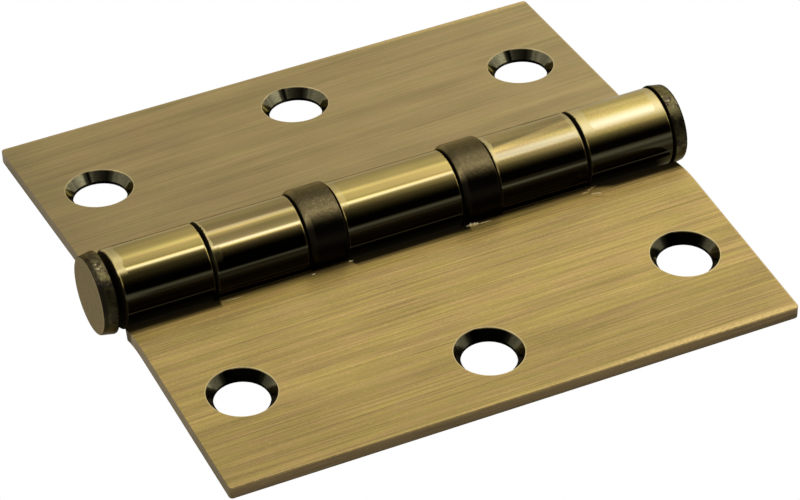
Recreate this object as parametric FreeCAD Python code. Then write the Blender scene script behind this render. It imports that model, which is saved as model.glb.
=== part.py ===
"""Ball bearing butt hinge for a door: two swaged sheet leaves curled round one pin.

The hinge lies open on a flat surface with its countersunk faces up, opened a little past flat. X runs
along the barrel, +Y is the side of the three-knuckle leaf and +Z is up. The origin is on the surface,
under the barrel's axis and midway along the leaves. All sizes are in millimetres, angles in degrees.
"""
import FreeCAD, Part
import math
import os

# Leaves
leaf_length = 76.2
leaf_reach = 38.1
sheet_thickness = 1.9
closed_gap = 1.5
leaf_droop = 3.5
corner_radius = 0.5
arris_rounding = 0.1
edge_rounding = 0.3

# Swage: the bend that takes each leaf from its flat down to the underside of the barrel
swage_start = 10.9
swage_radius = 16.0
seam_gap = 0.12

# Barrel
pin_radius = 3.2
running_clearance = 0.08
first_knuckle_set_back = 0.5
end_knuckle_length = 12.05
inner_knuckle_length = 12.55
knuckle_gap = 0.3
notch_clearance = 0.3

# Screw holes, the same on both leaves
hole_radius = 3.5
countersink_radius = 4.4
countersink_depth = 1.2
relief_radius = 4.0
relief_depth = 0.3
hole_end_distance = 8.0
outer_hole_reach = 23.2
middle_hole_reach = 29.25

# End buttons: the head of the pin, and the tip plug at the other end
button_radius = 5.4
button_face_radius = 5.05
button_thickness = 1.95
head_gap = 0.95
plug_gap = 0.1
button_face_rounding = 0.2
button_back_rounding = 0.25
plug_stem_length = 7.0
plug_clearance = 0.02
pin_plug_gap = 0.5
pin_end_chamfer = 0.6

# Thrust bearings, one each side of the middle knuckle
bearing_height = 5.3
race_end_play = 0.05
shroud_radius = 5.6
shroud_wall = 0.45
shroud_rounding = 0.9
shroud_edge_rounding = 0.25
shroud_set_back = 0.12
shroud_lip = 1.0
race_clearance = 0.05
ball_count = 16
ball_spacing = 0.057
ball_side_room = 0.141
ball_clearance = 0.02
groove_depth = 0.3

# Worked out from the sizes above
bore_radius = pin_radius + running_clearance
knuckle_radius = bore_radius + sheet_thickness
top_level = -closed_gap / 2
bottom_level = top_level - sheet_thickness
half_length = leaf_length / 2
barrel_middle = first_knuckle_set_back / 2
half_barrel = half_length - barrel_middle
end_joint = half_barrel - end_knuckle_length
inner_joint = end_joint - inner_knuckle_length
middle_end = inner_joint - bearing_height
shroud_bore = shroud_radius - shroud_wall
ball_circle = (bore_radius + shroud_bore) / 2
ball_room_round = ball_circle * math.sin(math.pi / ball_count) - ball_spacing / 2
ball_room_across = (shroud_bore - bore_radius) / 2 - ball_side_room
ball_radius = min(ball_room_round, ball_room_across)
axis_height = max(shroud_radius, button_radius, knuckle_radius)
tiny = 1e-3

X_AXIS = FreeCAD.Vector(1, 0, 0)
Z_AXIS = FreeCAD.Vector(0, 0, 1)
ORIGIN = FreeCAD.Vector(0, 0, 0)


def polar(radius, angle, centre=(0.0, 0.0)):
    """A point of the leaf's section, at an angle about a centre."""
    turn = math.radians(angle)
    return centre[0] + radius * math.cos(turn), centre[1] + radius * math.sin(turn)


def at_x(x, point):
    return FreeCAD.Vector(x, point[0], point[1])


def line(x, start, end):
    return Part.LineSegment(at_x(x, start), at_x(x, end)).toShape()


def arc(x, radius, start_angle, end_angle, centre=(0.0, 0.0)):
    angles = (start_angle, (start_angle + end_angle) / 2, end_angle)
    return Part.Arc(*[at_x(x, polar(radius, angle, centre)) for angle in angles]).toShape()


def swage_lines():
    """The bend's centre, the angle where the sheet joins the curl, and the angle where the curl ends.

    The sheet runs straight between the two, along the line that touches both round it and the curl.
    """
    centre = (swage_start, top_level - sheet_thickness / 2 - swage_radius)
    middle_radius = bore_radius + sheet_thickness / 2
    reach = math.acos((middle_radius + swage_radius) / math.hypot(*centre))
    join = math.degrees(math.atan2(centre[1], centre[0]) - reach)
    end = join + math.degrees(math.acos((bore_radius - seam_gap) / knuckle_radius))
    return centre, join, end


def leaf_section(x):
    """The whole section of a leaf as a face: flat, swage, curl and the curl's free end at the seam."""
    centre, join, end = swage_lines()
    upper = swage_radius + sheet_thickness / 2
    lower = swage_radius - sheet_thickness / 2
    rising = join + 180
    edges = [
        line(x, (leaf_reach, top_level), (swage_start, top_level)),
        arc(x, upper, 90, rising, centre),
        line(x, polar(upper, rising, centre), polar(bore_radius, join)),
        arc(x, bore_radius, join, end - 360),
        line(x, polar(bore_radius, end), polar(knuckle_radius, end)),
        arc(x, knuckle_radius, end - 360, join),
        line(x, polar(knuckle_radius, join), polar(lower, rising, centre)),
        arc(x, lower, rising, 90, centre),
        line(x, (swage_start, bottom_level), (leaf_reach, bottom_level)),
        line(x, (leaf_reach, bottom_level), (leaf_reach, top_level)),
    ]
    return Part.Face(Part.Wire(edges))


def notch(start, end):
    """The room that a leaf leaves for the other leaf's knuckles and for the bearings.

    It is round where it faces the barrel, and its edge below is square to the straight of the swage.
    """
    join = swage_lines()[1]
    clear_radius = max(shroud_radius, knuckle_radius) + notch_clearance
    depth = math.sqrt(clear_radius ** 2 - bore_radius ** 2)
    side = 2 * clear_radius
    room = Part.makeCylinder(clear_radius, end - start, at_x(start, (0, 0)), X_AXIS)
    block = Part.makeBox(end - start, side + depth, 2 * side)
    block.translate(FreeCAD.Vector(start, -side, -side))
    block.rotate(ORIGIN, X_AXIS, join + 90)
    return room.fuse(block)


def free_spans(knuckles):
    """The stretches of the barrel that a leaf's own knuckles leave free."""
    spans = []
    low = -leaf_length
    for start, end in knuckles:
        if start > -half_length:
            spans.append((low, start))
        low = end
    if low < half_length:
        spans.append((low, leaf_length))
    return spans


def flare(x, reach, level, depth, mouth_radius, way):
    """The cone that opens a screw hole out to one face of the sheet, run on past the face."""
    height = depth + sheet_thickness
    far_radius = hole_radius + (mouth_radius - hole_radius) * height / depth
    foot = FreeCAD.Vector(x, reach, level - way * depth)
    return Part.makeCone(hole_radius, far_radius, height, foot, Z_AXIS * way)


def countersunk_hole(x, reach):
    """The tool for one screw hole: a countersink above, a short straight land and a relief below."""
    foot = FreeCAD.Vector(x, reach, bottom_level - sheet_thickness)
    hole = Part.makeCylinder(hole_radius, 3 * sheet_thickness, foot)
    sink = flare(x, reach, top_level, countersink_depth, countersink_radius, 1)
    relief = flare(x, reach, bottom_level, relief_depth, relief_radius, -1)
    return hole.fuse([sink, relief])


def is_round(edge, radius):
    return hasattr(edge.Curve, "Radius") and abs(edge.Curve.Radius - radius) < tiny


def level_edges(leaf, level):
    """The leaf's sharp outline at one level, without the screw holes and the start of the swage.

    The rounding of the last knuckle runs on along the sheet, so the outline may be rounded already.
    """
    edges = []
    for edge in leaf.Edges:
        box = edge.BoundBox
        at_level = abs(box.ZMin - level) < tiny and abs(box.ZMax - level) < tiny
        at_end = abs(max(box.XMax, -box.XMin) - half_length) < tiny
        at_side = box.YMax > leaf_reach - tiny
        if at_level and (at_side or (at_end and box.XLength < tiny)):
            edges.append(edge)
    return edges


def make_leaf(knuckles):
    """A leaf lying level with its flat towards +Y and the barrel's axis at the origin."""
    leaf = leaf_section(-half_length).extrude(FreeCAD.Vector(leaf_length, 0, 0))
    for start, end in free_spans(knuckles):
        leaf = leaf.cut(notch(start, end))
    leaf = leaf.removeSplitter()

    upright = [edge for edge in leaf.Edges
               if edge.BoundBox.XLength < tiny and edge.BoundBox.YMin > leaf_reach - tiny]
    leaf = leaf.makeFillet(corner_radius, upright)
    knuckle_ends = [edge for edge in leaf.Edges
                    if edge.BoundBox.XLength < tiny and is_round(edge, knuckle_radius)]
    leaf = leaf.makeFillet(edge_rounding, knuckle_ends)
    for level, rounding in ((top_level, arris_rounding), (bottom_level, edge_rounding)):
        outline = level_edges(leaf, level)
        if outline:
            leaf = leaf.makeFillet(rounding, outline)

    outer_hole = half_length - hole_end_distance
    leaf = leaf.cut(countersunk_hole(-outer_hole, outer_hole_reach))
    leaf = leaf.cut(countersunk_hole(0, middle_hole_reach))
    leaf = leaf.cut(countersunk_hole(outer_hole, outer_hole_reach))
    return leaf.Solids[0]


def laid_open(leaf, turn):
    """A level leaf let down by the droop, and turned about the upright axis to its side of the barrel."""
    placed = leaf.copy()
    placed.rotate(ORIGIN, X_AXIS, -leaf_droop)
    placed.rotate(ORIGIN, Z_AXIS, turn)
    placed.translate(FreeCAD.Vector(0, 0, axis_height))
    return placed


def turned(outline):
    """A solid of revolution about the barrel's axis, from points of (distance along it, radius)."""
    points = [FreeCAD.Vector(x, 0, radius) for x, radius in outline]
    face = Part.Face(Part.makePolygon(points + points[:1]))
    return face.revolve(ORIGIN, X_AXIS, 360)


def rounded_rims(solid, rims):
    """The solid with its rims rounded, each given as (distance along the axis, radius, rounding)."""
    for x, radius, rounding in rims:
        edges = [edge for edge in solid.Edges if is_round(edge, radius)
                 and abs(edge.BoundBox.XMin - x) < tiny and abs(edge.BoundBox.XMax - x) < tiny]
        solid = solid.makeFillet(rounding, edges)
    return solid


def button_rims(face, back):
    """The two rims of a button, which tapers from its back to its face."""
    return [(face, button_face_radius, button_face_rounding), (back, button_radius, button_back_rounding)]


def make_pin():
    """The hinge pin with its button head, which stands off the first knuckle by a gap."""
    back = -half_barrel - head_gap
    face = back - button_thickness
    tip = half_barrel - plug_stem_length - pin_plug_gap
    pin = turned([(face, 0), (face, button_face_radius), (back, button_radius), (back, pin_radius),
                  (tip - pin_end_chamfer, pin_radius), (tip, pin_radius - pin_end_chamfer), (tip, 0)])
    return rounded_rims(pin, button_rims(face, back))


def make_plug():
    """The tip plug: a button like the pin's head on a stem that is driven into the last knuckle."""
    back = half_barrel + plug_gap
    face = back + button_thickness
    stem_radius = bore_radius - plug_clearance
    stem_end = half_barrel - plug_stem_length
    plug = turned([(stem_end, 0), (stem_end, stem_radius - pin_end_chamfer),
                   (stem_end + pin_end_chamfer, stem_radius), (back, stem_radius),
                   (back, button_radius), (face, button_face_radius), (face, 0)])
    return rounded_rims(plug, button_rims(face, back))


def make_shroud():
    """The bearing's outer case: a ring rolled in over the raceway washers, well rounded at one end."""
    low = shroud_set_back
    high = bearing_height - shroud_set_back
    case = turned([(low, 0), (low, shroud_radius), (high, shroud_radius), (high, 0)])
    rims = [(low, shroud_radius, shroud_rounding), (high, shroud_radius, shroud_edge_rounding)]
    case = rounded_rims(case, rims)
    low_wall = low + shroud_wall
    high_wall = high - shroud_wall
    inner_rounding = shroud_rounding - shroud_wall
    cavity = turned([(low_wall, 0), (low_wall, shroud_bore), (high_wall, shroud_bore), (high_wall, 0)])
    cavity = rounded_rims(cavity, [(low_wall, shroud_bore, inner_rounding)])
    opening = Part.makeCylinder(shroud_bore - shroud_lip, bearing_height, ORIGIN, X_AXIS)
    return case.cut(cavity).cut(opening).Solids[0]


def make_race():
    """A stepped raceway washer: its hub stands out through the shroud's rim and bears on a knuckle."""
    flange = shroud_set_back + shroud_wall + race_clearance
    flange_radius = shroud_bore - race_clearance
    hub_radius = shroud_bore - shroud_lip - race_clearance
    bevel = shroud_rounding - shroud_wall
    groove_radius = ball_radius + ball_clearance
    face = bearing_height / 2 - groove_radius + groove_depth
    race = turned([(race_end_play, bore_radius), (race_end_play, hub_radius), (flange, hub_radius),
                   (flange, flange_radius - bevel), (flange + bevel, flange_radius),
                   (face, flange_radius), (face, bore_radius)])
    ball_plane = FreeCAD.Vector(bearing_height / 2, 0, 0)
    groove = Part.makeTorus(ball_circle, groove_radius, ball_plane, X_AXIS)
    return race.cut(groove).Solids[0]


def make_balls():
    """A full ring of balls between the two raceways."""
    ball = Part.makeSphere(ball_radius)
    balls = []
    for index in range(ball_count):
        y, z = polar(ball_circle, 360 * index / ball_count)
        balls.append(ball.translated(FreeCAD.Vector(bearing_height / 2, y, z)))
    return balls


def on_barrel(solid, station, turn):
    """A piece made along +X, facing either way, set on the barrel at a station from its middle."""
    placed = solid.copy()
    placed.rotate(ORIGIN, Z_AXIS, turn)
    placed.translate(FreeCAD.Vector(barrel_middle + station, 0, axis_height))
    return placed


half_gap = knuckle_gap / 2
three_knuckles = [
    (-half_length + first_knuckle_set_back, barrel_middle - end_joint - half_gap),
    (barrel_middle - middle_end, barrel_middle + middle_end),
    (barrel_middle + end_joint + half_gap, half_length),
]
two_knuckles = [
    (barrel_middle - end_joint + half_gap, barrel_middle - inner_joint),
    (barrel_middle + inner_joint, barrel_middle + end_joint - half_gap),
]
two_knuckles_turned = [(-end, -start) for start, end in reversed(two_knuckles)]

pieces = {
    "back_leaf": laid_open(make_leaf(three_knuckles), 0),
    "front_leaf": laid_open(make_leaf(two_knuckles_turned), 180),
    "hinge_pin": on_barrel(make_pin(), 0, 0),
    "tip_plug": on_barrel(make_plug(), 0, 0),
}
shroud = make_shroud()
race = make_race()
balls = make_balls()
for side, near, far, turn in (
    ("left", -middle_end, -inner_joint, 180),
    ("right", middle_end, inner_joint, 0),
):
    pieces[side + "_bearing_shroud"] = on_barrel(shroud, min(near, far), 0)
    pieces[side + "_inner_race"] = on_barrel(race, near, turn)
    pieces[side + "_outer_race"] = on_barrel(race, far, turn + 180)
    for number, ball in enumerate(balls, start=1):
        pieces["%s_ball_%02d" % (side, number)] = on_barrel(ball, near, turn)

os.makedirs("parts", exist_ok=True)
for name, solid in pieces.items():
    solid.exportStep("parts/" + name + ".step")
print(len(pieces), "pieces, axis at height", axis_height)
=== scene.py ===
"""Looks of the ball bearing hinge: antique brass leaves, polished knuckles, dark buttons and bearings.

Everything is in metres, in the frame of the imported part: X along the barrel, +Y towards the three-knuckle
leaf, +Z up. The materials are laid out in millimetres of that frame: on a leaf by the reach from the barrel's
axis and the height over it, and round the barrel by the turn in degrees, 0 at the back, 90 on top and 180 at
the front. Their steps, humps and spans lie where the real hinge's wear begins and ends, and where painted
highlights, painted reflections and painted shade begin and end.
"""
import math
import random

import bmesh
import bpy
from mathutils import Matrix, Vector


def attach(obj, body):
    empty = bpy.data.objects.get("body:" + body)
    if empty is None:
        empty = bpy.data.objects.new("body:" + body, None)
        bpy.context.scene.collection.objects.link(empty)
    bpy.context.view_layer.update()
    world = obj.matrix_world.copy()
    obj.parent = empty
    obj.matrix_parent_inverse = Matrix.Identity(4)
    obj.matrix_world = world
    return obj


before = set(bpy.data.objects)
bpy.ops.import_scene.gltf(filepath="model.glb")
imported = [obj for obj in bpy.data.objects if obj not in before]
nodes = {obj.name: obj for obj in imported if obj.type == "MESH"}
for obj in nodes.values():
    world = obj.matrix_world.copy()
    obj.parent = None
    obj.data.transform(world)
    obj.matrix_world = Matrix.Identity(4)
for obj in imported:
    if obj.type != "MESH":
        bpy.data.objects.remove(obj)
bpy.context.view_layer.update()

DEGREES = 180 / math.pi
RADIANS = math.pi / 180
MILLIMETRES = 1000.0

# Photograph's camera, found from the outline and the holes of the hinge at its real size
CAMERA_CENTRE = (-0.168821, -0.384865, 0.318119)
CAMERA_RIGHT = (0.905738, -0.422997, -0.026688)
CAMERA_DOWN = (-0.275413, -0.539525, -0.795651)
CAMERA_FORWARD = (0.322160, 0.728002, -0.605167)
CAMERA_LENS = 186.85
CAMERA_RANGE = (0.01, 20.0)
SENSOR_WIDTH = 36.0

# Sizes that the materials are laid out by, in millimetres and radians
AXIS_HEIGHT = 5.6
DROOP = math.radians(3.5)
LEAF_TOP = -0.75
LEAF_REACH = 38.1
HALF_LENGTH = 38.1
SWAGE_START = 10.9
SWAGE_RADIUS = 16.0
BARREL_RADIUS = (5.3, 5.9)
SINK_RADIUS = 4.4
HOLES = [(30.1, 23.2), (-30.1, 23.2), (0.0, 29.25)]
BEARING_MIDDLE = 0.25
BEARING_OFFSET = 10.6

# Studio: radiance against the angle round the barrel's direction, 0 behind, 90 overhead, 180 in front
STUDIO_LEFT = [(0, 0.52), (12, 0.48), (20, 0.56), (30, 0.63), (40, 0.63), (50, 0.85), (57, 1.25), (62, 1.55),
               (67, 1.4), (72, 0.95), (78, 0.95), (86, 0.8), (93, 0.85), (96, 2.35), (101.5, 2.35),
               (104.5, 0.6), (109, 0.15), (118, 0.04), (135, 0.01), (166, 0.01), (169, 0.4), (180, 0.5)]
STUDIO_RIGHT = [(0, 0.74), (12, 0.68), (24, 0.82), (32, 1.1), (40, 1.22), (47, 1.12), (54, 1.3), (64, 1.65),
                (72, 2.0), (90, 2.1), (98, 1.35), (110, 1.05), (116, 0.75), (122, 0.3), (130, 0.12),
                (142, 0.04), (166, 0.03), (169, 0.5), (180, 0.6)]
STUDIO_AROUND = [(0, 0.7), (40, 0.75), (60, 1.1), (75, 1.2), (92, 0.9), (96, 1.9), (104, 1.9), (108, 0.7),
                 (130, 0.6), (180, 0.6)]
# Where the left boxes turn into the right ones along the barrel, and where both start and end, as the X of a
# direction of length 1
STUDIO_MIDDLE = (0.3, 0.4)
STUDIO_START = (0.12, 0.2)
STUDIO_END = (0.47, 0.55)

# Floor: its radius in metres, its whiteness, how dimly it glows in what mirrors it under the leaves, a painted
# shadow, and how much more past them, and the metres along and across the barrel over which that starts
FLOOR_RADIUS = 2.0
FLOOR_CORNERS = 128
FLOOR_WHITE = 0.7
FLOOR_GLOW = 0.03
OPEN_FLOOR_GLOW = 0.57
FLOOR_END = (0.037, 0.04)
FLOOR_SIDE = (0.037, 0.039)

# Colours that both leaves have
# Dull colour of the painted highlight on the knuckles
DULL_PALE = (0.56, 0.49, 0.3)
# Worn knuckle ends, painted pale where they catch the light
WORN_SHEEN = (0.58, 0.47, 0.2)
SHEARED = (0.215, 0.145, 0.058)
SHEARED_END = (0.25, 0.185, 0.085)
WORN_ARRIS = (0.66, 0.47, 0.17)
CONE = (0.15, 0.137, 0.078)
TURNED_RIM = (0.65, 0.53, 0.26)
# Nearly black painted shade: under the barrel, in the crease beside it and in the gaps
DEEP_SHADE = (0.012, 0.009, 0.005)
LOW_GLINT = (0.1, 0.092, 0.05)
SEAM_GLINT = (0.045, 0.04, 0.024)

# What the metals reflect at a grazing angle
BRASS_GRAZING = (0.88, 0.8, 0.62)
BRONZE_GRAZING = (0.75, 0.66, 0.5)

# Painted light and shade round the buttons and the bearings: brightness of the bronze colour against the turn
BUTTON_PAINTED_LIGHT = [(60, 0.95), (72, 1.25), (90, 1.25), (99, 0.88), (108, 1.5), (117, 1.15), (126, 1.2), (135, 0.6),
                (144, 0.25), (153, 0.17), (162, 0.2), (171, 0.38), (180, 0.8), (198, 0.3)]
SHROUD_PAINTED_LIGHT = [(54, 1.65), (63, 1.85), (72, 1.15), (81, 0.8), (90, 0.52), (99, 0.47), (108, 0.8), (117, 0.95),
                (126, 1.4), (131, 1.1), (137, 0.4), (144, 0.05)]

# Burrs that the cutting left at the foot of the knuckles, in millimetres: their start and end as a place along
# the barrel and a reach, then their half width and height
BURRS = [((-8.3, 6.1), (-7.5, 6.15), 0.17, 0.16),
         ((8.0, 6.15), (9.7, 6.45), 0.34, 0.42),
         ((9.4, 6.5), (11.4, 6.65), 0.1, 0.14),
         ((-13.5, 6.55), (-12.9, 6.6), 0.13, 0.15),
         ((23.8, 6.95), (25.6, 6.4), 0.3, 0.36),
         ((25.2, 6.3), (26.6, 5.95), 0.17, 0.28),
         ((24.9, 7.5), (26.4, 8.0), 0.24, 0.18),
         ((-25.8, 6.5), (-22.6, 6.75), 0.08, 0.1)]
BURR_FOOT = 0.05


class Value:
    """An output socket of a node tree, with sums written as in Python."""

    def __init__(self, graph, socket):
        self.graph = graph
        self.socket = socket

    def __abs__(self):
        return self.graph.math("ABSOLUTE", self)

    def __add__(self, other):
        return self.graph.math("ADD", self, other)

    def __radd__(self, other):
        return self.graph.math("ADD", other, self)

    def __sub__(self, other):
        return self.graph.math("SUBTRACT", self, other)

    def __rsub__(self, other):
        return self.graph.math("SUBTRACT", other, self)

    def __mul__(self, other):
        return self.graph.math("MULTIPLY", self, other)

    def __rmul__(self, other):
        return self.graph.math("MULTIPLY", other, self)


class Graph:
    """Writes the nodes of one material or world."""

    def __init__(self, tree):
        self.tree = tree
        tree.nodes.clear()

    def node(self, kind, **settings):
        made = self.tree.nodes.new(kind)
        for key, value in settings.items():
            setattr(made, key, value)
        return made

    def put(self, socket, value):
        if isinstance(value, Value):
            self.tree.links.new(value.socket, socket)
        else:
            socket.default_value = value

    def result(self, kind, values, **settings):
        """The first output of a new node, whose first inputs are the given values."""
        made = self.node(kind, **settings)
        for socket, value in zip(made.inputs, values):
            self.put(socket, value)
        return Value(self, made.outputs[0])

    def math(self, operation, *values):
        return self.result("ShaderNodeMath", values, operation=operation)

    def most(self, a, b):
        return self.math("MAXIMUM", a, b)

    def angle(self, up, along):
        """The angle of a direction, in degrees."""
        return self.math("ARCTAN2", up, along) * DEGREES

    def step(self, value, low, high):
        """0 below low and 1 above high, smooth between them; falling where low is the larger."""
        if low > high:
            return 1.0 - self.step(value, high, low)
        return self.result("ShaderNodeMapRange", (value, low, high), interpolation_type="SMOOTHSTEP")

    def hump(self, value, middle, width):
        """1 at the middle, falling smoothly to 0 at a width to either side."""
        return self.step(abs(value - middle), width, 0.0)

    def span(self, value, low, high, soft):
        """1 between low and high, falling smoothly to 0 over twice a soft width centred on each."""
        return self.step(value, low - soft, low + soft) * self.step(value, high + soft, high - soft)

    def curve(self, value, points):
        """A piecewise straight line through (place, height) points, as a sum of map ranges."""
        total = points[0][1]
        for (a, low), (b, high) in zip(points, points[1:]):
            if high != low:
                total = self.result("ShaderNodeMapRange", (value, a, b, 0.0, high - low)) + total
        return total

    def vector(self, x, y, z):
        return self.result("ShaderNodeCombineXYZ", (x, y, z))

    def parts(self, vector):
        made = self.node("ShaderNodeSeparateXYZ")
        self.put(made.inputs[0], vector)
        return [Value(self, socket) for socket in made.outputs]

    def coordinates(self, kind):
        return Value(self, self.node("ShaderNodeTexCoord").outputs[kind])

    def ray(self, kind):
        return Value(self, self.node("ShaderNodeLightPath").outputs[kind])

    def noise(self, vector, scale=1.0, detail=2.0, rough=0.5):
        made = self.node("ShaderNodeTexNoise")
        self.put(made.inputs["Vector"], vector)
        made.inputs["Scale"].default_value = scale
        made.inputs["Detail"].default_value = detail
        made.inputs["Roughness"].default_value = rough
        return Value(self, made.outputs["Fac"])

    def colour(self, rgb):
        made = self.node("ShaderNodeRGB")
        made.outputs[0].default_value = (*rgb, 1)
        return Value(self, made.outputs[0])

    def scaled(self, rgb, factor):
        """A colour, as three numbers or a value, times a factor."""
        made = self.node("ShaderNodeVectorMath", operation="SCALE")
        self.put(made.inputs[0], rgb if isinstance(rgb, Value) else self.colour(rgb))
        self.put(made.inputs["Scale"], factor)
        return Value(self, made.outputs[0])

    def mix(self, a, b, share):
        """One colour turning into another; each is three numbers or a value."""
        made = self.node("ShaderNodeMix", data_type="RGBA")
        self.put(made.inputs[0], share)
        for socket, value in zip(made.inputs[6:8], (a, b)):
            self.put(socket, value if isinstance(value, Value) else (*value, 1))
        return Value(self, made.outputs[2])

    def for_camera(self, others, camera):
        """One shader for camera rays, and another for all other rays."""
        return self.result("ShaderNodeMixShader", (self.ray("Is Camera Ray"), others, camera))

    def output(self, kind, shader):
        self.put(self.node(kind).inputs[0], shader)


def make_camera():
    data = bpy.data.cameras.new("camera")
    data.lens = CAMERA_LENS
    data.sensor_width = SENSOR_WIDTH
    data.clip_start, data.clip_end = CAMERA_RANGE
    camera = bpy.data.objects.new("camera", data)
    bpy.context.scene.collection.objects.link(camera)
    right, down, forward = (Vector(v).normalized() for v in (CAMERA_RIGHT, CAMERA_DOWN, CAMERA_FORWARD))
    turn = Matrix((right, -down, -forward)).transposed()
    camera.matrix_world = Matrix.Translation(CAMERA_CENTRE) @ turn.to_4x4()
    bpy.context.scene.camera = camera


def make_world():
    """A soft studio: long soft boxes over the barrel, one dim wall in front, white behind for the camera."""
    world = bpy.data.worlds.new("studio")
    world.use_nodes = True
    g = Graph(world.node_tree)
    x, y, z = g.parts(g.coordinates("Generated"))
    angle = g.angle(z, y)
    left, right, around = (g.curve(angle, points) for points in (STUDIO_LEFT, STUDIO_RIGHT, STUDIO_AROUND))
    along = g.step(x, *STUDIO_MIDDLE)
    level = left * (1.0 - along) + right * along
    narrow = g.step(x, *STUDIO_START) * g.step(x, *reversed(STUDIO_END))
    level = level * narrow + around * (1.0 - narrow)
    room = g.result("ShaderNodeBackground", [g.scaled((1, 1, 1), level)])
    white = g.result("ShaderNodeBackground", [(1, 1, 1, 1)])
    g.output("ShaderNodeOutputWorld", g.for_camera(room, white))
    bpy.context.scene.world = world


def make_floor():
    """A plain pale floor, white to the camera, which sees a leaf swing below it too; its glow has a painted
    shadow.
    """
    bpy.ops.mesh.primitive_circle_add(vertices=FLOOR_CORNERS, radius=FLOOR_RADIUS, fill_type="NGON")
    floor = bpy.context.object
    floor.name = "floor"
    material = bpy.data.materials.new("floor")
    material.use_nodes = True
    g = Graph(material.node_tree)
    mirrored = g.most(g.ray("Is Glossy Ray"), g.ray("Is Transmission Ray"))
    paper = g.result("ShaderNodeBsdfDiffuse", [g.scaled((1, 1, 1), FLOOR_WHITE - FLOOR_WHITE * mirrored)])
    x, y, _ = g.parts(g.coordinates("Object"))
    # Painted shadow: the glow is dim under the leaves and full past them
    past = g.most(g.step(abs(x), *FLOOR_END), g.step(abs(y), *FLOOR_SIDE))
    glow = g.node("ShaderNodeEmission")
    g.put(glow.inputs["Strength"], mirrored * (FLOOR_GLOW + OPEN_FLOOR_GLOW * past))
    both = g.result("ShaderNodeAddShader", (paper, Value(g, glow.outputs[0])))
    clear = g.result("ShaderNodeBsdfTransparent", ())
    g.output("ShaderNodeOutputMaterial", g.for_camera(both, clear))
    floor.data.materials.append(material)


class Metal(Graph):
    """A metal material laid out in millimetres of the part's frame."""

    def __init__(self, name):
        self.material = bpy.data.materials.new(name)
        self.material.use_nodes = True
        super().__init__(self.material.node_tree)
        self.place = self.scaled(self.coordinates("Object"), MILLIMETRES)
        self.x, self.y, self.z = self.parts(self.place)
        facing_x, _, facing_z = self.parts(self.coordinates("Normal"))
        self.facing_end = abs(facing_x)
        self.facing_up = abs(facing_z)
        self.rise = self.z - AXIS_HEIGHT
        self.radius = self.math("SQRT", self.y * self.y + self.rise * self.rise)
        turn = self.angle(self.rise, self.y)
        self.turn = turn + self.math("LESS_THAN", turn, -90.0) * 360.0

    def tilted(self, degrees):
        """The surface's normal turned about the barrel's direction."""
        turned = self.node("ShaderNodeVectorRotate", rotation_type="X_AXIS")
        self.put(turned.inputs["Vector"], Value(self, self.node("ShaderNodeNewGeometry").outputs["Normal"]))
        self.put(turned.inputs["Angle"], degrees * RADIANS)
        return Value(self, turned.outputs[0])

    def finish(self, colour, roughness, anisotropic=0.0, bump=None, normal=None, coat=0.0, grazing=(1, 1, 1)):
        """Ends the material; the bump is in millimetres."""
        shader = self.node("ShaderNodeBsdfPrincipled")
        shader.inputs["Metallic"].default_value = 1.0
        shader.inputs["Anisotropic"].default_value = anisotropic
        shader.inputs["Specular Tint"].default_value = (*grazing, 1)
        shader.inputs["Coat Roughness"].default_value = 0.12
        self.put(shader.inputs["Coat Weight"], coat)
        self.put(shader.inputs["Base Color"], colour)
        self.put(shader.inputs["Roughness"], roughness)
        if anisotropic:
            tangent = self.result("ShaderNodeTangent", (), direction_type="RADIAL", axis="X")
            self.put(shader.inputs["Tangent"], tangent)
        if bump is not None:
            made = self.node("ShaderNodeBump")
            made.inputs["Strength"].default_value = 1.0
            made.inputs["Distance"].default_value = 1.0
            self.put(made.inputs["Height"], bump * (1 / MILLIMETRES))
            if normal is not None:
                self.put(made.inputs["Normal"], normal)
            self.put(shader.inputs["Normal"], Value(self, made.outputs[0]))
        self.output("ShaderNodeOutputMaterial", Value(self, shader.outputs[0]))
        return self.material


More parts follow.
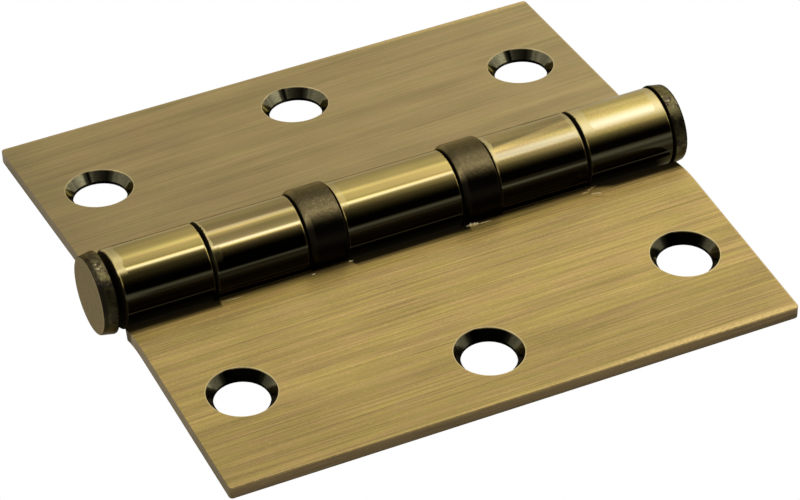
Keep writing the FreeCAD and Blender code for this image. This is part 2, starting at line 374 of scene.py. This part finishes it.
class LeafMetal(Metal):
    """Brushed and lacquered antique brass. What the two leaves don't share is in BackLeaf and FrontLeaf."""

    def __init__(self, name):
        super().__init__(name)
        out = self.side * self.y
        self.reach = out * math.cos(DROOP) - self.rise * math.sin(DROOP)
        self.height = out * math.sin(DROOP) + self.rise * math.cos(DROOP)
        self.knuckle = self.step(self.radius, *reversed(BARREL_RADIUS))
        self.flat = 1.0 - self.knuckle
        self.across = self.y - self.x * self.skew
        self.band = self.brush(0.02, 0.5, 3.0, 0.55)
        self.line = self.brush(0.04, 3.4, 4.0, 0.75)
        self.grain = self.brush(1.6, 6.0)
        self.streak = self.noise(self.vector(self.x * 4.5, self.turn * 0.16, 0.0), rough=0.6)
        wobble = (self.noise(self.vector(self.turn * 0.07, self.x * 0.2, 3.0)) - 0.5) * 1.1
        self.ragged_x = self.x + wobble

    def brush(self, along, across, detail=2.0, rough=0.6, shift=0.0):
        """Noise drawn out in the direction of the brushing, which lies a little askew to the barrel."""
        place = self.vector(self.x * along, self.across * across, self.rise * across + shift)
        return self.noise(place, 1.0, detail, rough)

    def brushed(self):
        """Brightness of the brushing: broad soft bands, long lines, and the sparkle of short scratches."""
        cloud = self.noise(self.vector(self.x * 0.1 + 7.0, self.y * 0.22, self.rise * 0.22), 1.0, 1.0)
        shade = 1.0 + (self.band - 0.5) * 0.5 + (cloud - 0.5) * 0.3
        shade = shade + (self.line - 0.5) * (self.lines * self.flat + 0.12)
        shade = shade + self.step(self.grain, 0.6, 0.74) * self.flat * self.sparks
        return shade + (self.brush(3.6, 5.5) - 0.5) * self.speckle * self.flat

    def worn_ends_and_sheen(self):
        """Bands round the knuckles' ends: worn matt, and painted pale where their upper front catches the
        light.
        """
        worn = 0.0
        for low, high, soft, strength in self.worn_sheen_bands:
            worn = worn + strength * self.span(self.ragged_x, low, high, soft)
        return worn * self.knuckle * self.step(self.turn, 48.0, 62.0) * self.step(self.turn, 131.0, 121.0)

    def brass(self, shade, wear_and_sheen):
        """The flat and the knuckles, with a pale painted highlight and painted reflection bands round the
        knuckles.
        """
        warm, olive = (self.mix(a, b, self.knuckle) for a, b in zip(self.flats, self.curls))
        tint = self.brush(0.12, 1.1, shift=11.0)
        brass = self.scaled(self.mix(warm, olive, self.step(tint, 0.35, 0.65)), shade)
        streaks = 1.0 + (self.streak - 0.5) * 0.5 * self.step(self.x, 12.0, 14.0) * self.knuckle
        # Painted reflection: lighter and darker bands round the knuckles, by the turn
        brass = self.scaled(brass, self.painted_reflections() * streaks)
        # Painted highlight: pale where the light catches the knuckles
        pale = self.mix(DULL_PALE, self.pale, self.bright)
        brass = self.mix(brass, pale, self.painted_highlight() * self.knuckle * 0.75)
        # Worn matt ends, painted pale where they catch the light
        return self.mix(brass, WORN_SHEEN, wear_and_sheen * (0.35 + self.streak * 0.6))

    def with_edges(self, colour, shade, edge, beyond):
        """Sheared edges of the plate: brown, with a worn bright line along the arris."""
        level = self.curve(self.height, [(LEAF_TOP - 1.6, 0.85), (LEAF_TOP - 0.3, 1.15)])
        colour = self.mix(colour, self.scaled(SHEARED, shade * level), edge)
        end = edge * self.step(self.facing_end, 0.5, 0.8) * self.step(self.reach, 9.0, 13.0)
        colour = self.mix(colour, self.scaled(SHEARED_END, shade), end)
        worn = self.step(self.x, 0.0, 22.0)
        near_end = self.step(self.x, HALF_LENGTH - 0.3, HALF_LENGTH - 0.1) * 0.6
        near_reach = self.step(self.reach + worn * 0.5, LEAF_REACH - 0.6, LEAF_REACH + 0.1)
        arris = self.most(near_end, near_reach * (0.5 + 0.5 * worn))
        arris = arris * self.step(self.height, LEAF_TOP - 0.28, LEAF_TOP - 0.12)
        chipped = self.noise(self.vector(self.x * 1.8, self.y * 3.0, 0.0), 1.0, 3.0, 0.7)
        return self.mix(colour, WORN_ARRIS, arris * self.step(chipped, 0.1, 0.75) * beyond * 1.15)

    def with_countersinks(self, colour):
        """Painted light and shade on the countersinks' cones, and a bright rim. Also returns where they are."""
        sink = rim = round_hole = 0.0
        for x, reach in HOLES:
            right, out = self.x - x, self.reach - reach
            away = self.math("SQRT", right * right + out * out)
            sink = self.most(sink, self.step(away, SINK_RADIUS + 0.02, SINK_RADIUS - 0.12))
            rim = self.most(rim, self.hump(away, SINK_RADIUS + 0.02, 0.12))
            near = self.step(away, SINK_RADIUS + 0.5, SINK_RADIUS + 0.4)
            round_hole = round_hole + self.angle(self.side * out, right) * near
        sink = sink * self.flat
        cone = self.scaled(self.scaled(CONE, self.curve(round_hole, self.cone_light)), 0.4 + self.grain * 1.2)
        colour = self.mix(self.mix(colour, cone, sink), TURNED_RIM, rim * self.flat * 0.8)
        return colour, sink

    def gaps(self):
        """Painted shade on the knuckles' end faces, and the left button's painted shadow on the first knuckle.
        """
        gap = self.step(self.facing_end, 0.35, 0.6) * self.step(self.radius, 6.5, 5.9)
        shadow = self.step(self.turn, 126.0, 130.0) * self.step(self.x, 0.85 - HALF_LENGTH, 0.5 - HALF_LENGTH)
        return self.most(gap, shadow * self.knuckle)

    def make(self):
        """The whole material, from the brushing to the painted shade and the glints in it."""
        shade = self.shaded(self.brushed())
        wear_and_sheen = self.worn_ends_and_sheen()
        beyond = self.step(self.reach, 6.5, 7.5)
        edge = self.step(self.facing_up, 0.75, 0.35) * beyond
        colour = self.with_edges(self.brass(shade, wear_and_sheen), shade, edge, beyond)
        colour, sink = self.with_countersinks(colour)

        # Painted shade, nearly black: the barrel's lower front and lower back, the crease beside it, and its
        # gaps
        under = self.most(self.step(self.turn, 134.0, 146.0), self.step(self.turn, -4.0, -14.0)) * self.knuckle
        crease = self.step(self.crease_reach() + (self.line - 0.5) * 1.2, 8.2, 6.9) * self.flat
        gap = self.gaps()
        painted_shade = self.most(under, self.most(crease, gap))
        colour = self.with_marks(self.mix(colour, DEEP_SHADE, painted_shade * 0.97))
        low, seam = self.glints()
        colour = self.mix(colour, LOW_GLINT, low * self.knuckle * (1.0 - gap))
        colour = self.mix(colour, SEAM_GLINT, seam * self.knuckle * (1.0 - gap))

        satin = self.flat * (1.0 - crease) * (1.0 - sink)
        roughness = 0.1 + 0.2 * satin + (self.line - 0.5) * 0.1 * satin + (self.band - 0.5) * 0.04
        roughness = roughness + 0.1 * edge + 0.8 * gap + 0.3 * crease + 0.14 * wear_and_sheen + 0.2 * self.facet
        bump = (self.line - 0.5) * (0.006 * satin + 0.001) + (self.grain - 0.5) * 0.0025 * satin
        bump = bump + (self.band - 0.5) * 0.005
        coat = 0.3 * (1.0 - self.most(painted_shade, sink))
        return self.finish(colour, roughness, 0.5, bump, self.tilted(self.lean(seam)), coat, BRASS_GRAZING)


class BackLeaf(LeafMetal):
    """The leaf with three knuckles: the first and middle polished, the right one with a broad painted
    highlight.
    """

    side = 1
    skew = 0.045
    lines, sparks, speckle = 0.8, 0.16, 0.12
    flats = ((0.4, 0.283, 0.116), (0.377, 0.284, 0.106))
    curls = ((0.5, 0.362, 0.11), (0.475, 0.368, 0.1))
    pale = (0.65, 0.59, 0.41)
    worn_sheen_bands = [(-39.0, -36.4, 0.08, 1.0), (25.0, 27.8, 0.08, 1.0), (36.8, 39.0, 0.08, 1.0),
                   (-9.0, -6.7, 0.08, 0.5)]
    # Painted light and shade on the countersinks' cones by the angle round the hole, 0 along +X, 90 along +Y
    cone_light = [(-180, 1.2), (-30, 1.5), (-18, 1.4), (-6, 1.4), (6, 0.8), (18, 0.92), (30, 0.6), (42, 0.26),
                  (54, 0.04), (66, 0.12), (78, 0.27), (90, 1.0), (98, 3.0), (106, 3.0), (114, 2.3), (126, 0.72),
                  (138, 0.79), (150, 2.8), (162, 1.2), (180, 1.2)]
    facet = 0.0

    def __init__(self, name):
        super().__init__(name)
        self.right = self.step(self.x, 15.0, 20.0)
        self.bright = self.right

    def shaded(self, shade):
        return shade * (1.0 - 0.15 * self.step(self.x, -28.0, -38.0))

    # Painted reflection: darker bands round the first and middle knuckles, by the turn
    def painted_reflections(self):
        rest = 1.0 - self.right
        middle = self.hump(self.turn, 97.5, 6.0) * self.step(self.x, -12.0, -8.0)
        return 1.0 - 0.27 * self.hump(self.turn, 116.6, 3.0) * rest - 0.26 * middle * rest

    # Painted highlight: a pale line on the first and middle knuckles, a broad pale band on the right one
    def painted_highlight(self):
        polished = self.hump(self.turn, 121.0, 3.6) * (1.0 - self.right) * 0.75
        return polished + self.hump(self.turn, 114.0, 14.0) * self.right

    def crease_reach(self):
        return self.reach

    def gaps(self):
        """The first knuckle's end face keeps its brass, free of the painted shade, in a ring outside the
        button.
        """
        ring = self.step(self.radius, 4.8, 4.95) * self.step(self.x, -37.0, -37.3)
        ring = ring * self.step(self.turn, 45.0, 60.0) * self.step(self.turn, 130.0, 122.0)
        return super().gaps() * (1.0 - ring * 0.9)

    def with_marks(self, colour):
        return colour

    def glints(self):
        """The glint in the dark of each knuckle, and the fainter one beside the seam."""
        first = self.hump(self.turn, 157.5, 6.5) * self.step(self.x, -33.0, -37.0)
        low = self.most(self.hump(self.turn, 157.3, 3.8), first) * (1.0 - self.right)
        low = low + self.hump(self.turn, 159.0, 6.0) * self.right
        low = low + self.hump(self.turn, 168.5, 6.0) * self.right * 0.5
        return low, self.hump(self.turn, 184.5, 3.2)

    def lean(self, seam):
        return -22.0 * seam * self.knuckle


class FrontLeaf(LeafMetal):
    """The leaf with two knuckles: the left one polished, the right one streaked, both with painted highlights.
    """

    side = -1
    skew = 0.016
    lines, sparks, speckle = 1.6, 0.3, 0.4
    flats = ((0.43, 0.29, 0.097), (0.412, 0.3, 0.082))
    curls = ((0.44, 0.31, 0.108), (0.42, 0.318, 0.095))
    pale = (0.55, 0.51, 0.37)
    worn_sheen_bands = [(12.0, 14.3, 0.08, 1.0), (-26.5, -24.95, 0.06, 1.0), (25.2, 27.0, 0.08, 0.6)]
    # Painted light and shade on the countersinks' cones, as on the back leaf
    cone_light = [(-180, 1.6), (-150, 1.4), (-30, 1.6), (-18, 1.8), (-6, 1.3), (6, 0.64), (18, 0.33),
                  (27, 0.03), (38, 0.01), (97, 0.01), (106, 0.1), (114, 0.7), (126, 0.95), (138, 1.4),
                  (150, 1.8), (180, 1.6)]
    # Painted reflection bands against the turn, round the left and the right knuckle
    painted_reflections_left = [(80, 1.0), (87, 0.74), (94, 0.6), (98, 0.5), (102, 0.88), (105, 1.35), (109, 0.84),
                    (113, 0.56), (120, 0.6), (125, 1.0)]
    painted_reflections_right = [(80, 1.0), (88, 0.74), (96, 0.6), (102, 0.64), (105, 1.15), (109, 1.12), (114, 0.8),
                     (120, 0.85)]
    # Painted light beside the crease, against the reach
    crease_light = [(7.2, 0.7), (8.2, 0.5), (8.8, 0.2), (9.6, 0.04), (11.0, 0.0)]

    def __init__(self, name):
        super().__init__(name)
        self.left = self.step(self.x, 0.0, -2.0)
        self.right = 1.0 - self.left
        self.bright = self.right
        self.facet = self.span(self.ragged_x, -25.6, -24.2, 0.2) * self.span(self.turn, 130.0, 148.0, 6.0)
        self.facet = self.facet * self.knuckle

    def shaded(self, shade):
        """Darker towards the long edge and in one patch, and painted light where the swage begins."""
        shade = shade * (1.0 - 0.17 * self.step(self.reach + (self.band - 0.5) * 8.0, 25.0, 30.0))
        shade = shade * (1.0 + self.curve(self.reach, self.crease_light) * self.flat)
        return shade * (1.0 - 0.08 * self.step(self.x, -15.0, -25.0) * self.span(self.reach, 12.0, 17.0, 1.0))

    # Painted reflection: lighter and darker bands round the knuckles, slanting along the right one
    def painted_reflections(self):
        slope = self.turn + (self.x - 13.5) * 1.2
        right = self.curve(slope, self.painted_reflections_right)
        right = right + self.hump(self.turn, 115.5, 4.5) * 0.35 + self.hump(self.turn, 109.0, 5.0) * 0.2
        right = right * (1.0 - 0.28 * self.hump(self.turn, 96.0, 7.0))
        both = self.curve(self.turn, self.painted_reflections_left) * self.left + right * self.right
        return 1.0 + (both - 1.0) * self.knuckle

    # Painted highlight: two pale lines on the left knuckle, a broad pale band on the right one
    def painted_highlight(self):
        polished = self.hump(self.turn, 126.0, 4.0) + self.hump(self.turn, 101.5, 4.0) * 0.35
        return polished * self.left + self.hump(self.turn, 118.0, 10.0) * self.right * 0.7

    def crease_reach(self):
        """The crease comes closer to the barrel beside this leaf's own knuckles."""
        own = self.span(self.x, -25.8, -7.8, 0.2) + self.step(self.x, 8.1, 8.5) * self.step(self.x, 29.0, 25.5)
        return self.reach + own * 1.15

    def with_marks(self, colour):
        """A dark scratch by the right knuckle, and the painted dark reflection of a flat spot at the left one's
        end.
        """
        slant = self.reach - (self.x - 25.0) * 0.38
        scratch = self.span(self.x, 25.1, 26.4, 0.3) * self.hump(slant, 8.35, 0.14)
        colour = self.mix(colour, (0.06, 0.045, 0.02), scratch * 0.8)
        return self.mix(colour, (0.05, 0.043, 0.015), self.facet)

    def glints(self):
        """The glint in the dark of each knuckle, and the fainter one beside the seam."""
        seam = self.hump(self.turn, 191.0, 4.5) * self.step(self.x, 25.5, 21.0)
        return self.hump(self.turn, 162.0, 3.2), seam

    def lean(self, seam):
        """The hammered knuckles and the swage lean off their true round, which moves what they reflect."""
        lean = -19.0 * seam - 7.0 * self.left * self.step(self.turn, 104.0, 122.0)
        lean = lean - 7.0 * self.right * self.step(self.turn, 78.0, 100.0)
        lean = lean + 5.0 * self.right * self.step(self.turn, 100.0, 126.0)
        return lean * self.knuckle + 2.6 * self.most(SWAGE_START - self.reach, 0.0) * self.flat


def button_material():
    """Dark bronzed satin: mottled olive and black round the rim, clusters of small worn specks, painted light
    and shade.
    """
    g = Metal("button")
    fine = g.noise(g.place, 3.2, 3.0, 0.65)
    blot = g.noise(g.place, 0.75, 3.0, 0.6)
    patch = g.step(g.noise(g.vector(g.x + 5.0, g.y, g.z), 0.6, 1.0), 0.42, 0.58)
    speck = g.step(g.noise(g.place, 3.0, 3.0, 0.7), 0.55, 0.66)
    end = abs(g.x)
    face = g.step(g.facing_end, 0.9, 0.99)
    dull = g.scaled((0.215, 0.168, 0.088), 0.5 + blot * 0.8 + (fine - 0.5) * 0.5)
    # Painted highlight along the face's edge, on its front half
    dull = g.mix(dull, (0.4, 0.33, 0.19), g.hump(g.radius, 4.68, 0.22) * g.hump(g.turn, 150.0, 90.0) * 0.8)
    rim = g.mix((0.04, 0.03, 0.02), (0.13, 0.108, 0.045), g.step(blot, 0.36, 0.6))
    # Painted light and shade round the turn
    rim = g.scaled(rim, (0.4 + fine * 1.2) * g.curve(g.turn, BUTTON_PAINTED_LIGHT))
    rim = g.mix(rim, (0.6, 0.52, 0.34), speck * patch * g.hump(g.turn, 106.0, 26.0) * 0.8)
    rim = g.mix(rim, (0.015, 0.012, 0.008), g.step(end, 39.75, 40.1) * 0.8)
    # Painted shade, nearly black, on the pin inside the gap and on the button's back
    inside = g.step(g.radius, 4.95, 4.6) * (1.0 - face)
    behind = g.step(end, 38.75, 38.5) * g.step(g.facing_end, 0.3, 0.6)
    hidden = g.most(inside, behind)
    colour = g.mix(g.mix(rim, dull, face), (0.008, 0.006, 0.004), hidden)
    roughness = 0.28 + (blot - 0.5) * 0.25 + hidden * 0.6
    return g.finish(colour, roughness, bump=(fine - 0.5) * 0.05, grazing=BRONZE_GRAZING)


def shroud_material():
    """Dark olive bronze over the bearings, mottled with light specks, with painted light, and painted black
    shade underneath.
    """
    g = Metal("shroud")
    fine = g.noise(g.vector(g.x * 2.2, g.y * 2.2, g.rise * 2.2), 1.0, 3.0, 0.65)
    blot = g.noise(g.place, 0.7)
    speck = g.step(g.noise(g.place, 4.0), 0.58, 0.7)
    # Painted light and shade round the turn
    base = g.scaled((0.145, 0.112, 0.05), (0.55 + fine * 0.9) * g.curve(g.turn, SHROUD_PAINTED_LIGHT))
    worn = g.hump(g.turn, 110.0, 24.0) * (0.12 + 0.3 * g.step(g.x, 2.0, -2.0))
    colour = g.mix(base, (0.42, 0.36, 0.24), speck * worn)
    # Painted shade, nearly black: underneath, and on the ends beside the knuckles
    under = g.most(g.step(g.turn, 132.0, 144.0), g.step(g.turn, -2.0, -12.0))
    rim = g.step(abs(abs(g.x - BEARING_MIDDLE) - BEARING_OFFSET), 2.3, 2.45)
    colour = g.mix(colour, (0.01, 0.008, 0.005), g.most(under * 0.97, rim))
    roughness = 0.25 + (blot - 0.5) * 0.15 + 0.4 * rim
    return g.finish(colour, roughness, 0.3, (fine - 0.5) * 0.025, grazing=BRONZE_GRAZING)


def steel_material(name, colour, roughness):
    """Ground steel, with fine rings of the grinding."""
    g = Metal(name)
    rings = g.noise(g.vector(g.x * 8.0, g.radius * 6.0, 0.0))
    shade = g.scaled(colour, 0.85 + rings * 0.3)
    return g.finish(shade, roughness + (rings - 0.5) * 0.1, bump=(rings - 0.5) * 0.002)


def burr_material():
    """Raw torn brass, bright at the left and browner at the right."""
    g = Metal("burr")
    torn = g.noise(g.place, 2.5, rough=0.6)
    brass = g.mix((0.8, 0.71, 0.47), (0.46, 0.36, 0.17), g.step(g.x, 14.0, 20.0))
    return g.finish(g.scaled(brass, 0.6 + torn * 0.7), 0.35)


def leaf_point(x, reach, above):
    """A place over the top of the front leaf, in metres."""
    drop = SWAGE_RADIUS - math.sqrt(SWAGE_RADIUS ** 2 - max(SWAGE_START - reach, 0.0) ** 2)
    height = LEAF_TOP - drop + above
    y = -(reach * math.cos(DROOP) + height * math.sin(DROOP))
    z = AXIS_HEIGHT - reach * math.sin(DROOP) + height * math.cos(DROOP)
    return x / MILLIMETRES, y / MILLIMETRES, z / MILLIMETRES


def make_burr(name, start, end, half_width, height, material):
    """A ragged sliver standing on the front leaf, its foot let into the metal."""
    draw = random.Random(name)
    count = 6 + int(abs(end[0] - start[0]) * 8)
    mesh = bmesh.new()
    rows = []
    for i in range(count):
        t = i / (count - 1)
        swell = 0.12 + math.sin(math.pi * t) ** 0.6
        x = start[0] + (end[0] - start[0]) * t + draw.uniform(-0.02, 0.02)
        reach = start[1] + (end[1] - start[1]) * t + draw.uniform(-0.2, 0.2) * half_width
        half = half_width * swell * draw.uniform(0.5, 1.1)
        top = height * swell * draw.uniform(0.35, 1.1)
        foot = [leaf_point(x, reach + side * half, -BURR_FOOT) for side in (-1, 1)]
        ridge = leaf_point(x + draw.uniform(-0.03, 0.03), reach + draw.uniform(-0.5, 0.5) * half, top)
        rows.append([mesh.verts.new(p) for p in (foot[0], ridge, foot[1])])
    for a, b in zip(rows, rows[1:]):
        for i in range(3):
            mesh.faces.new((a[i], a[(i + 1) % 3], b[(i + 1) % 3], b[i]))
    mesh.faces.new(rows[0])
    mesh.faces.new(rows[-1][::-1])
    bmesh.ops.triangulate(mesh, faces=mesh.faces[:])
    bmesh.ops.recalc_face_normals(mesh, faces=mesh.faces[:])
    data = bpy.data.meshes.new(name)
    mesh.to_mesh(data)
    mesh.free()
    data.materials.append(material)
    burr = bpy.data.objects.new(name, data)
    bpy.context.scene.collection.objects.link(burr)
    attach(burr, "front")


button = button_material()
finishes = {
    "back_leaf": BackLeaf("leaf_back").make(),
    "front_leaf": FrontLeaf("leaf_front").make(),
    "hinge_pin": button,
    "tip_plug": button,
    "shroud": shroud_material(),
    "race": steel_material("race", (0.5, 0.5, 0.49), 0.28),
    "ball": steel_material("ball", (0.6, 0.6, 0.59), 0.08),
}
for name, node in nodes.items():
    node.data.materials[0] = next(finish for part, finish in finishes.items() if part in name)

torn_brass = burr_material()
for number, (start, end, half_width, height) in enumerate(BURRS, 1):
    make_burr("burr_%d" % number, start, end, half_width, height, torn_brass)

make_camera()
make_world()
make_floor()
bpy.context.scene.view_settings.view_transform = "Standard"
